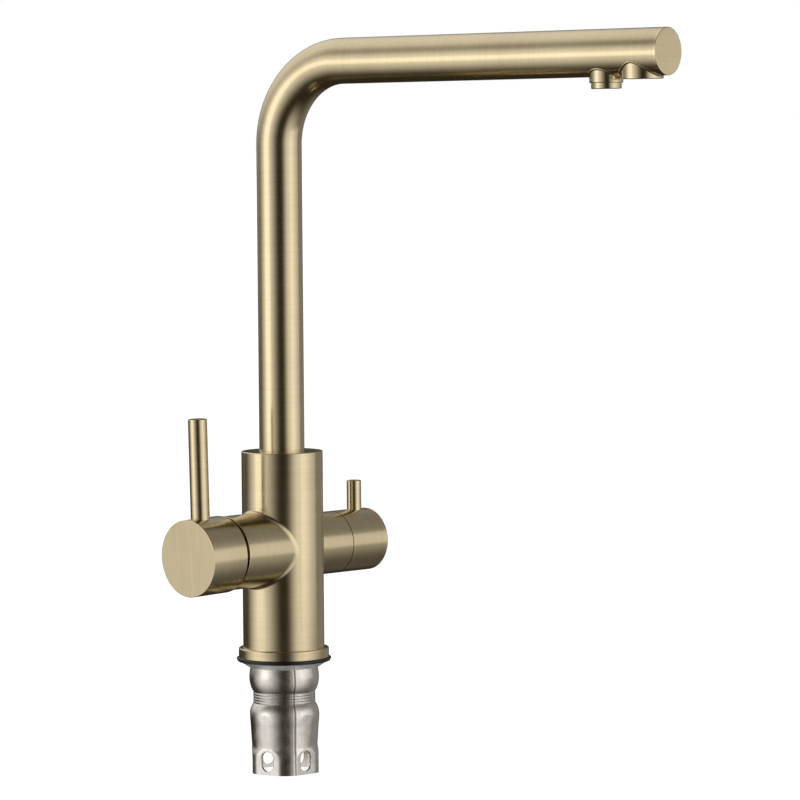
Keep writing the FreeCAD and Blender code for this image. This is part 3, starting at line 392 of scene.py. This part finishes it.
def nutRadius(depth, angle):
    # radius under the nut's top edge: a cubic over each bulge, a cosine over the neck's ridges, straight
    # runs below; then the softened lesser of that and the flats, which sink in along a run
    bulge, second, lower = (np.array(nut[name], float).T for name in ("bulge", "second", "lower"))
    ridges = nut["ridge"] * (0.5 - 0.5 * np.cos(2 * np.pi * (depth - bulge[0, -1]) / nut["pitch"]))
    proud = np.select(
        [depth <= bulge[0, -1], depth <= second[0, 0], depth <= second[0, -1]],
        [np.polyval(np.polyfit(*bulge, 3), depth), ridges, np.polyval(np.polyfit(*second, 3), depth)],
        np.interp(depth, *lower))
    around = nut["neck"] + proud
    flats = nut["flats"]
    turned = (angle - flats[0] + 50) % 360 - 50   # angle past the first flat
    pitch = flats[1] - flats[0]
    away = np.radians(turned - pitch * np.clip(np.round(turned / pitch), 0, len(flats) - 1))
    start, end = nut["flatRun"]
    flat = nut["flat"] + nut["flatRise"] * np.clip((end - depth) / (end - start), 0, 4)
    flat = flat / np.cos(away)
    return (around + flat - np.sqrt((around - flat) ** 2 + nut["soften"])) / 2


def nutPoint(depth, angle, inset=0.0):
    # point on the nut at a depth and an angle in degrees, an inset inside its skin
    radius = nutRadius(depth, angle) - inset
    turn = np.radians(angle)
    return np.stack([radius * np.cos(turn), radius * np.sin(turn), nut["top"] - depth + 0 * turn], -1) * mm


def slotOutline(x, y, spare):
    # where the ray towards (x, y) leaves an upright slot with round ends
    size = np.hypot(x, y)
    ux, uy = x / size, y / size
    radius = nut["slotWidth"] / 2 + spare
    half = (nut["slotHeight"] - nut["slotWidth"]) / 2
    side = radius / np.maximum(np.abs(ux), 1e-9)
    lift = half * np.sign(uy)
    end = uy * lift + np.sqrt(np.maximum((uy * lift) ** 2 - lift ** 2 + radius ** 2, 0))
    reach = np.where(np.abs(side * uy) <= half, side, end)
    return ux * reach, uy * reach


def buildNut(steel):
    # outer and inner skin; below the patch's top each flat is a grid between the slot and a rectangle, with
    # a strip between two flats; the slot's wall and both ends close the skins
    patchTop, patchHalf = nut["patch"]
    length, neckStart, neckEnd = nut["length"], nut["bulge"][-1][0], nut["second"][0][0]
    inPatch = np.linspace(-patchHalf, patchHalf, 13)
    lines = np.linspace(patchTop, length, 13)
    centres = nut["flats"]
    gaps = np.diff(centres, append=centres[0] + 360)
    strips = [np.linspace(patchHalf, gap - patchHalf, 11) for gap in gaps]
    around = np.concatenate([centre + np.concatenate([inPatch[:-1], strip[:-1]])
                             for centre, strip in zip(centres, strips)])
    upper = np.concatenate([np.linspace(0, neckStart, 20)[:-1], np.linspace(neckStart, neckEnd, 49)[:-1],
                            np.linspace(neckEnd, patchTop, 32)])
    full = np.concatenate([inPatch[:-1], np.full(12, patchHalf), inPatch[:0:-1], np.full(12, -patchHalf)])
    down = np.concatenate([np.full(12, patchTop), lines[:-1], np.full(12, length), lines[:0:-1]])
    borderX, borderY = nut["flat"] * np.tan(np.radians(full)), down - nut["slotDepth"]
    grids = []
    for inset, spare in ((0.0, nut["slotEdge"]), (nut["wall"], 0.0)):
        grids.append((nutPoint(upper[:, None], around[None], inset), False, True))
        holeX, holeY = slotOutline(borderX, borderY, spare)
        share = (np.linspace(0, 1, 7) ** 1.4)[:, None]
        x, y = holeX + (borderX - holeX) * share, holeY + (borderY - holeY) * share
        for centre, strip in zip(centres, strips):
            grids.append((nutPoint(lines[:, None], centre + strip[None], inset), False, False))
            turn = centre + np.degrees(np.arctan(x / nut["flat"]))
            grids.append((nutPoint(nut["slotDepth"] + y, turn, inset), False, True))
    for edge in (0.0, length):
        grids.append((np.stack([nutPoint(edge, around, inset) for inset in (0, nut["wall"])]),
                      False, True))
    wide, true = (slotOutline(borderX, borderY, spare) for spare in (nut["slotEdge"], 0.0))
    for centre in centres:
        rings = [(wide, 0.0), (true, nut["slotEdge"]), (true, nut["wall"])]
        grids.append((np.stack([
            nutPoint(nut["slotDepth"] + y, centre + np.degrees(np.arctan(x / nut["flat"])), inset)
            for (x, y), inset in rings]), False, True))
    attach(gridPiece("fixingNut", grids, steel), "fixing_nut", "stainless", "fixing_nut")


stainless = rolledSteel("stainless")
buildNut(stainless)
print("fixing nut made")


def crossing(origin, along, out, mainRadius, radius, turn):
    # where a round branch leaves a round bar: the point, both outward normals, and the directions that
    # leave the corner over the bar and up the branch
    origin, along, out = (np.array(value, float) for value in (origin, along, out))
    across = np.cross(along, out)
    turn = turn[:, None]
    height = np.sqrt(mainRadius ** 2 - (radius * np.sin(turn)) ** 2)
    spoke = np.cos(turn) * along + np.sin(turn) * across
    point = origin + radius * spoke + height * out
    normal = (height * out + radius * np.sin(turn) * across) / mainRadius
    over = spoke - (spoke * normal).sum(1)[:, None] * normal
    over /= np.linalg.norm(over, axis=1)[:, None]
    return point, normal, spoke, over


def creasePiece(name, origin, along, out, mainRadius, radius, size, material):
    # rounded inner corner: a curve from the bar to the branch through their corner, closed underneath
    turn = np.linspace(0, 2 * np.pi, 160, endpoint=False)
    point, normal, spoke, over = crossing(origin, along, out, mainRadius, radius, turn)
    t = np.linspace(0, 1, 9)[:, None, None]
    sunk, buried = branches["creaseSunk"], branches["creaseBuried"]
    start = point + size * over - (size ** 2 / (2 * mainRadius) + sunk) * normal
    end = point + size * np.array(out) - sunk * spoke
    curve = (1 - t) ** 2 * start + 2 * t * (1 - t) * point + t ** 2 * end
    under = point - buried * (normal + spoke)
    return gridPiece(name, np.concatenate([curve, under[None]]) * mm, material, wrapU=True)


def rimPiece(name, radius, face, edge, material, origin=(0, 0, 0), axis=(0, 0, 1)):
    # rounded rim that lies on a chamfer: a quarter curve carried round the axis
    t = np.linspace(0, 1, 7)
    buried = edge + branches["rimBuried"]
    radii = np.append(radius - edge * (1 - t) ** 2, radius - buried)
    heights = np.append(face - edge * t ** 2, face - buried)
    along = np.array(axis, float) / np.linalg.norm(axis)
    side = np.cross(along, (0, 1, 0) if abs(along[1]) < 0.9 else (0, 0, 1))
    side /= np.linalg.norm(side)
    turn = np.linspace(0, 2 * np.pi, 144, endpoint=False)
    spoke = np.cos(turn)[:, None] * side + np.sin(turn)[:, None] * np.cross(along, side)
    points = np.array(origin, float) + heights[:, None, None] * along + radii[:, None, None] * spoke
    return gridPiece(name, points * mm, material, wrapU=True)


branches = {"height": 62.4, "body": 22.5, "bodyTop": 116.0, "bodyEdge": 0.6, "mixer": 20.4, "mixerEnd": 45.0,
            "filter": 17.4, "rimEdge": 0.4, "rimBuried": 0.2, "mixerCrease": 2.3, "filterCrease": 0.7,
            "creaseSunk": 0.01, "creaseBuried": 0.5}
handle = {"radius": 21.1, "start": 47.3, "end": 72.0, "openEdge": 0.3, "rimEdge": 0.4, "pivot": 38.0,
          "lean": 1.4, "rodRadius": 5.2, "rodReach": 62.1, "rodTop": 75.3}
knob = {"radius": 17.4, "end": 65.8, "rodRadius": 4.1, "rodReach": 56.4, "rodTop": 33.6}


def leant(reach, rise):
    # point of the closed lever, in the lean that it has at rest
    lean = np.radians(handle["lean"])
    x, z = handle["pivot"] - reach, rise
    return np.array([-handle["pivot"] + x * np.cos(lean) - z * np.sin(lean), 0,
                     branches["height"] + x * np.sin(lean) + z * np.cos(lean)])


def buildCorners(gold, rim):
    # rounded inner corners of both branches, and the rims of the barrels, the body and the lever rods
    middle = (0, 0, branches["height"])
    for branch, side in (("mixer", -1), ("filter", 1)):
        crease = creasePiece(branch + "Crease", middle, (0, 0, 1), (side, 0, 0), branches["body"],
                             branches[branch], branches[branch + "Crease"], gold)
        attach(crease, "fixed_body", "brushed_gold")
    attach(rimPiece("bodyRim", branches["body"], branches["bodyTop"], branches["bodyEdge"], rim),
           "fixed_body", "brushed_gold")
    attach(rimPiece("mixerRim", branches["mixer"], branches["mixerEnd"], branches["rimEdge"], rim, middle,
                    (-1, 0, 0)), "fixed_body", "brushed_gold")
    attach(rimPiece("knobRim", knob["radius"], knob["end"], branches["rimEdge"], rim, middle, (1, 0, 0)),
           "filter_knob", "brushed_gold")
    attach(rimPiece("knobRodRim", knob["rodRadius"], knob["rodTop"], branches["rimEdge"], rim,
                    (knob["rodReach"], 0, branches["height"])), "filter_knob", "brushed_gold")
    root, ahead = leant(0, 0), leant(1, 0) - leant(0, 0)
    for name, face, edge, sign in (("handleRim", handle["end"], handle["rimEdge"], 1),
                                   ("handleOpenRim", handle["start"], handle["openEdge"], -1)):
        attach(rimPiece(name, handle["radius"], sign * face, edge, rim, root, sign * ahead),
               "mixer_lever", "brushed_gold")
    attach(rimPiece("handleRodRim", handle["rodRadius"], handle["rodTop"], branches["rimEdge"], rim,
                    leant(handle["rodReach"], 0), leant(0, 1) - root), "mixer_lever", "brushed_gold")


# each outlet: distance along the arm, radius, bore radius, drop under the arm's line, rounding
outlets = {"mixed": (239.5, 11.1, 9.6, 13.9, 0.3), "filter": (217.1, 8.85, 7.05, 15.6, 0.7),
           "joint": 0.24, "gapShadowOut": 0.1, "bead": 0.6, "beadUp": 0.6, "beadSunk": 0.25,
           "boreEdge": 0.15, "boreDepth": 6.0, "straight": 1.2, "intoTube": 0.3}


def buildOutlets(gold, joint):
    # saddled collars: rows run from the tube's skin down, round the lower edge and up the bore; a dark
    # bead of painted shadow for the gap, and a rounded gold bead, follow the curve where collar and arm cross
    turn = np.linspace(0, 2 * np.pi, 144, endpoint=False)
    ring = np.linspace(0, 2 * np.pi, 12, endpoint=False)[:, None, None]
    down = outward * np.sin(rise) - np.array([0, 0, np.cos(rise)])
    for name, node in (("mixed", "mixed_outlet_collar"), ("filter", "filter_outlet_collar")):
        reach, radius, bore, drop, edge = outlets[name]
        origin = np.array([0, 0, spout["armHeight"]]) + armLine * reach
        point, normal, spoke, over = crossing(origin, armLine, down, spout["radius"], radius, turn)
        t = np.linspace(0, 1, 6)[:, None]
        lip, deep = outlets["boreEdge"], drop - outlets["boreDepth"]
        lower = np.concatenate([[[radius]], radius - edge * t ** 2, [[bore + lip], [bore], [bore]]])
        drops = np.concatenate([[[drop - outlets["straight"]]], drop - edge * (1 - t) ** 2,
                                [[drop], [drop - lip], [deep]]])
        skin = origin + lower[:, :, None] * spoke + drops[:, :, None] * down
        top = point - outlets["intoTube"] * down
        inner = top - (radius - bore) * spoke
        rows = np.concatenate([top[None], (top * 0.5 + skin[0] * 0.5)[None], skin, inner[None]])
        attach(gridPiece(name + "OutletCollar", rows * mm, gold, wrapU=True), "spout", "brushed_gold", node)
        # the dark bead is painted shadow of the gap between collar and arm; the gold bead is a rounded fillet
        for kind, middle, size, material, slot in (
                ("GapShadow", point + outlets["gapShadowOut"] * spoke, outlets["joint"], joint, "black_rubber"),
                ("Bead", point + outlets["beadUp"] * over - outlets["beadSunk"] * normal, outlets["bead"],
                 gold, "brushed_gold")):
            bead = middle + size * (np.cos(ring) * normal + np.sin(ring) * over)
            attach(gridPiece(name + "Outlet" + kind, bead * mm, material, wrapU=True), "spout", slot)


goldBody = brushedGold("goldBody", bodyGrain)
goldUpright = brushedGold("goldUpright", alongAxis((0, 0, 1)))
# painted highlight: the rounded rims get a lighter, smoother copy of the gold
buildCorners(goldBody, plainMetal("goldRimPaintedHighlight", (0.86, 0.73, 0.48, 1), (0.76, 0.63, 0.40, 1), 0.2, 400.0))
# painted shadow: dark brown beads stand for the shade in the gap between each collar and the arm
buildOutlets(goldUpright, plainSolid("paintedGapShadow", (0.035, 0.026, 0.016, 1), (0.015, 0.011, 0.007, 1), 0.5))
print("rims, inner corners and outlets made")


def discGrain(direction, limit):
    # round the axis on the barrel, and in upright lines on its end face
    def across(spot, flow):
        reach = spot.dot(direction)
        onFace = reach.step(limit - 0.03 * mm, limit)
        return spot.dot((0, 1, 0)) * onFace + reach * (1.0 - onFace)
    return across


handleAxis = leant(1, 0) - leant(0, 0)
faceMargin = 0.05   # mm under an end face where its own grain starts
handleFace = float((leant(handle["end"] - faceMargin, 0) * mm) @ handleAxis)
knobFace = (knob["end"] - faceMargin) * mm
goldHandle = brushedGold("goldHandle", discGrain(tuple(handleAxis), handleFace))
goldKnob = brushedGold("goldKnob", discGrain((1, 0, 0), knobFace))
rawBrass = plainMetal("rawBrass", (0.78, 0.60, 0.30, 1), (0.62, 0.46, 0.22, 1), 0.26)
brightSteel = plainMetal("brightSteel", (0.74, 0.73, 0.71, 1), (0.60, 0.59, 0.57, 1), 0.22)
greyPlastic = plainSolid("greyPlastic", (0.62, 0.62, 0.60, 1), (0.54, 0.54, 0.52, 1), 0.5)
whitePlastic = plainSolid("whitePlastic", (0.84, 0.84, 0.82, 1), (0.76, 0.76, 0.74, 1), 0.45)
ceramic = plainSolid("ceramic", (0.88, 0.87, 0.84, 1), (0.80, 0.79, 0.76, 1), 0.25, 2500.0, 0.004 * mm)
keptNodes = [   # finishes of the CAD nodes that stay
    (goldBody, ["tap_body"]), (goldHandle, ["handle_barrel"]), (goldKnob, ["knob_barrel"]),
    (goldUpright, ["handle_lever_rod", "knob_lever_rod", "filter_aerator_shell"]),
    (rawBrass, ["clamp_ring", "filter_valve_body", "filter_spindle", "spout_spigot"]),
    (stainless, ["threaded_shank"]),
    (brightSteel, ["lever_spindle", "lever_cross_pin", "handle_grub_screw", "knob_grub_screw",
                   "spout_retaining_screw"]),
    (rubber, ["cartridge_seals", "filter_valve_seal", "spout_o_rings"]),
    (greyPlastic, ["cartridge_housing", "temperature_carrier", "disc_driver", "mixed_aerator",
                   "filter_aerator_insert"]),
    (whitePlastic, ["spout_slide_ring", "filter_feed_tube", "filter_inner_tube"]),
    (ceramic, ["fixed_ceramic_disc", "moving_ceramic_disc", "filter_fixed_disc", "filter_moving_disc"])]
for material, names in keptNodes:
    for name in names:
        slots = nodes[name].data.materials
        slots.clear()
        slots.append(material)
print("finishes given to", sum(len(names) for _, names in keptNodes), "nodes")


camera = bpy.data.objects.new("camera", bpy.data.cameras.new("camera"))
bpy.context.scene.collection.objects.link(camera)
bpy.context.scene.camera = camera
view = {"azimuth": -44.46106, "elevation": 3.72945, "distance": 2.37646, "target": (0, 0, 0.143434),
        "yaw": 1.57892, "roll": -0.55891, "lens": 193.5}


def aimCamera():
    # looks at the target from an azimuth and elevation, then turns by the yaw and the roll
    az, el, yaw, roll = np.radians([view["azimuth"], view["elevation"], view["yaw"], view["roll"]])
    back = np.array([np.sin(az) * np.cos(el), -np.cos(az) * np.cos(el), np.sin(el)])
    eye = np.array(view["target"]) + back * view["distance"]
    ahead = -back
    right = np.cross(ahead, (0, 0, 1))
    right /= np.linalg.norm(right)
    up = np.cross(right, ahead)
    ahead, right = ahead * np.cos(yaw) + right * np.sin(yaw), right * np.cos(yaw) - ahead * np.sin(yaw)
    right, up = right * np.cos(roll) + up * np.sin(roll), up * np.cos(roll) - right * np.sin(roll)
    turn = Matrix(np.stack([right, up, -ahead], 1).tolist()).to_4x4()
    camera.matrix_world = Matrix.Translation(Vector(eye)) @ turn
    camera.data.sensor_width = 36
    camera.data.lens = view["lens"]
    camera.data.clip_end = 50


aimCamera()
print("camera at", [round(value, 4) for value in camera.location])


studio = {   # heights and distances in metres; a soft box has an angle, size, radiance and distance
    "ambient": 0.85, "floorHeight": -86.8 * mm, "floorHalf": 20.0, "floorLift": 0.42, "flagRadius": 12.0,
    "flagColour": (0.030, 0.025, 0.016, 1), "centre": (0, 0, 0.15),
    "softBoxLeft": (-68, (1.0, 0.6), 0.45, 1.9), "softBoxRight": (80, (0.95, 0.5), 0.32, 0.95)}


def seenRay(flow):
    # 1 for camera, glossy and transmission rays
    rays = flow.node("ShaderNodeLightPath").socket.node.outputs
    names = ("Is Camera Ray", "Is Glossy Ray", "Is Transmission Ray")
    kinds = [Flow(flow.tree, rays[name]) for name in names]
    return (kinds[0] + kinds[1] + kinds[2]).calc("MINIMUM", 1.0)


def buildWorld():
    # white to the eye and in reflections, a little less as light
    world = bpy.data.worlds.new("whiteStudio")
    bpy.context.scene.world = world
    world.use_nodes = True
    world.node_tree.nodes.clear()
    flow = Flow(world.node_tree)
    strength = seenRay(flow) * (1 - studio["ambient"]) + studio["ambient"]
    back = flow.node("ShaderNodeBackground", None, {"Color": (1, 1, 1, 1), "Strength": strength})
    flow.node("ShaderNodeOutputWorld", None, {"Surface": back})


def buildFloor():
    # plain pale floor that keeps the object's shadow
    material, flow = newMaterial("paleFloor")
    plain = flow.node("ShaderNodeBsdfDiffuse", None, {"Color": (0.8, 0.8, 0.8, 1)})
    glow = flow.node("ShaderNodeEmission", None, {"Strength": seenRay(flow) * studio["floorLift"]})
    surface(flow, flow.node("ShaderNodeAddShader", None, {0: plain, 1: glow}))
    low, half = studio["floorHeight"], studio["floorHalf"]
    corners = np.array([[(-half, -half, low), (-half, half, low)], [(half, -half, low), (half, half, low)]])
    floor = gridPiece("floor", corners, material, wrapV=False)
    floor.visible_glossy = False


def compass(angle, height=0.0):
    # direction at an angle to the right of the camera's line and a height over the horizon, in degrees
    turn, lift = np.radians(view["azimuth"] + angle), np.radians(height)
    return np.array([np.sin(turn) * np.cos(lift), -np.cos(turn) * np.cos(lift), np.sin(lift)])


openings = {   # degrees from the camera's line or over the horizon: where an opening starts and ends
    "leftRise": (-128, -75), "leftFall": (-66, -4), "leftTop": (4, 46), "leftTopLoss": 0.88,
    "rightRise": (10, 46), "rightFade": (52, 108), "rightLoss": 0.75, "rightFall": (145, 175),
    "rightTop": (8, 60), "rightTopLoss": 0.82, "rightShare": 0.92, "foot": (-70, 0),
    "highRise": (85, 115), "highFall": (160, 180), "highLift": (16, 36), "highShare": 0.12,
    "behind": (-140, 40), "behindEdge": (0.65, 0.99), "behindShare": 0.85}


def flagOpenness(spot, flow):
    # two tall soft openings beside the camera, a faint one high on the right, and a round one high behind
    direction = flow.node("ShaderNodeVectorMath", {"operation": "NORMALIZE"}, {0: spot})
    ahead, aside = direction.dot(tuple(compass(0))), direction.dot(tuple(compass(90)))
    angle = aside.calc("ARCTAN2", ahead) * (180 / np.pi)
    height = direction.parts()[2].calc("ARCSINE") * (180 / np.pi)

    def rises(value, name):
        return value.step(*openings[name])

    def falls(value, name, loss=1.0):
        return 1.0 - rises(value, name) * loss

    foot = rises(height, "foot")
    left = (rises(angle, "leftRise") * falls(angle, "leftFall")
            * falls(height, "leftTop", openings["leftTopLoss"]))
    right = (rises(angle, "rightRise") * falls(angle, "rightFade", openings["rightLoss"])
             * falls(angle, "rightFall") * falls(height, "rightTop", openings["rightTopLoss"]))
    high = rises(angle, "highRise") * falls(angle, "highFall") * rises(height, "highLift")
    behind = rises(direction.dot(tuple(compass(*openings["behind"]))), "behindEdge")
    return ((left + right * openings["rightShare"]) * foot + behind * openings["behindShare"]
            + high * openings["highShare"]).calc("MINIMUM", 1.0)


def buildFlags():
    # a ball so wide that its openings lie in the same directions for every piece
    turn = np.linspace(0, 2 * np.pi, 96, endpoint=False)
    lift = np.linspace(-np.pi / 2, np.pi / 2, 49)
    ball = np.stack([np.cos(lift)[:, None] * np.cos(turn), np.cos(lift)[:, None] * np.sin(turn),
                     np.sin(lift)[:, None] * np.ones(96)], 2)
    material, flow = newMaterial("flagCloth")
    spot = flow.node("ShaderNodeTexCoord", None, None, "Object")
    dark = flow.node("ShaderNodeEmission", None, {"Color": studio["flagColour"], "Strength": 1.0})
    clear = flow.node("ShaderNodeBsdfTransparent")
    surface(flow, flow.node("ShaderNodeMixShader", None, {0: flagOpenness(spot, flow), 1: dark, 2: clear}))
    flags = gridPiece("studioFlags", studio["flagRadius"] * ball, material)
    flags.visible_camera = flags.visible_diffuse = flags.visible_shadow = False
    flags.visible_transmission = flags.visible_volume_scatter = False


def softBox(name):
    # an area lamp level with the tap's middle and aimed at it; its angle is to the right of the camera's line
    angle, size, radiance, distance = studio[name]
    lamp = bpy.data.lights.new(name, "AREA")
    lamp.shape, lamp.size, lamp.size_y = "RECTANGLE", *size
    lamp.energy = radiance * np.pi * size[0] * size[1]
    lampObject = bpy.data.objects.new(name, lamp)
    bpy.context.scene.collection.objects.link(lampObject)
    direction = Vector(compass(angle))
    lampObject.location = Vector(studio["centre"]) + direction * distance
    lampObject.rotation_euler = direction.to_track_quat("Z", "Y").to_euler()


buildWorld()
buildFloor()
buildFlags()
softBox("softBoxLeft")
softBox("softBoxRight")
bpy.context.scene.view_settings.view_transform = "Standard"
print("studio made")
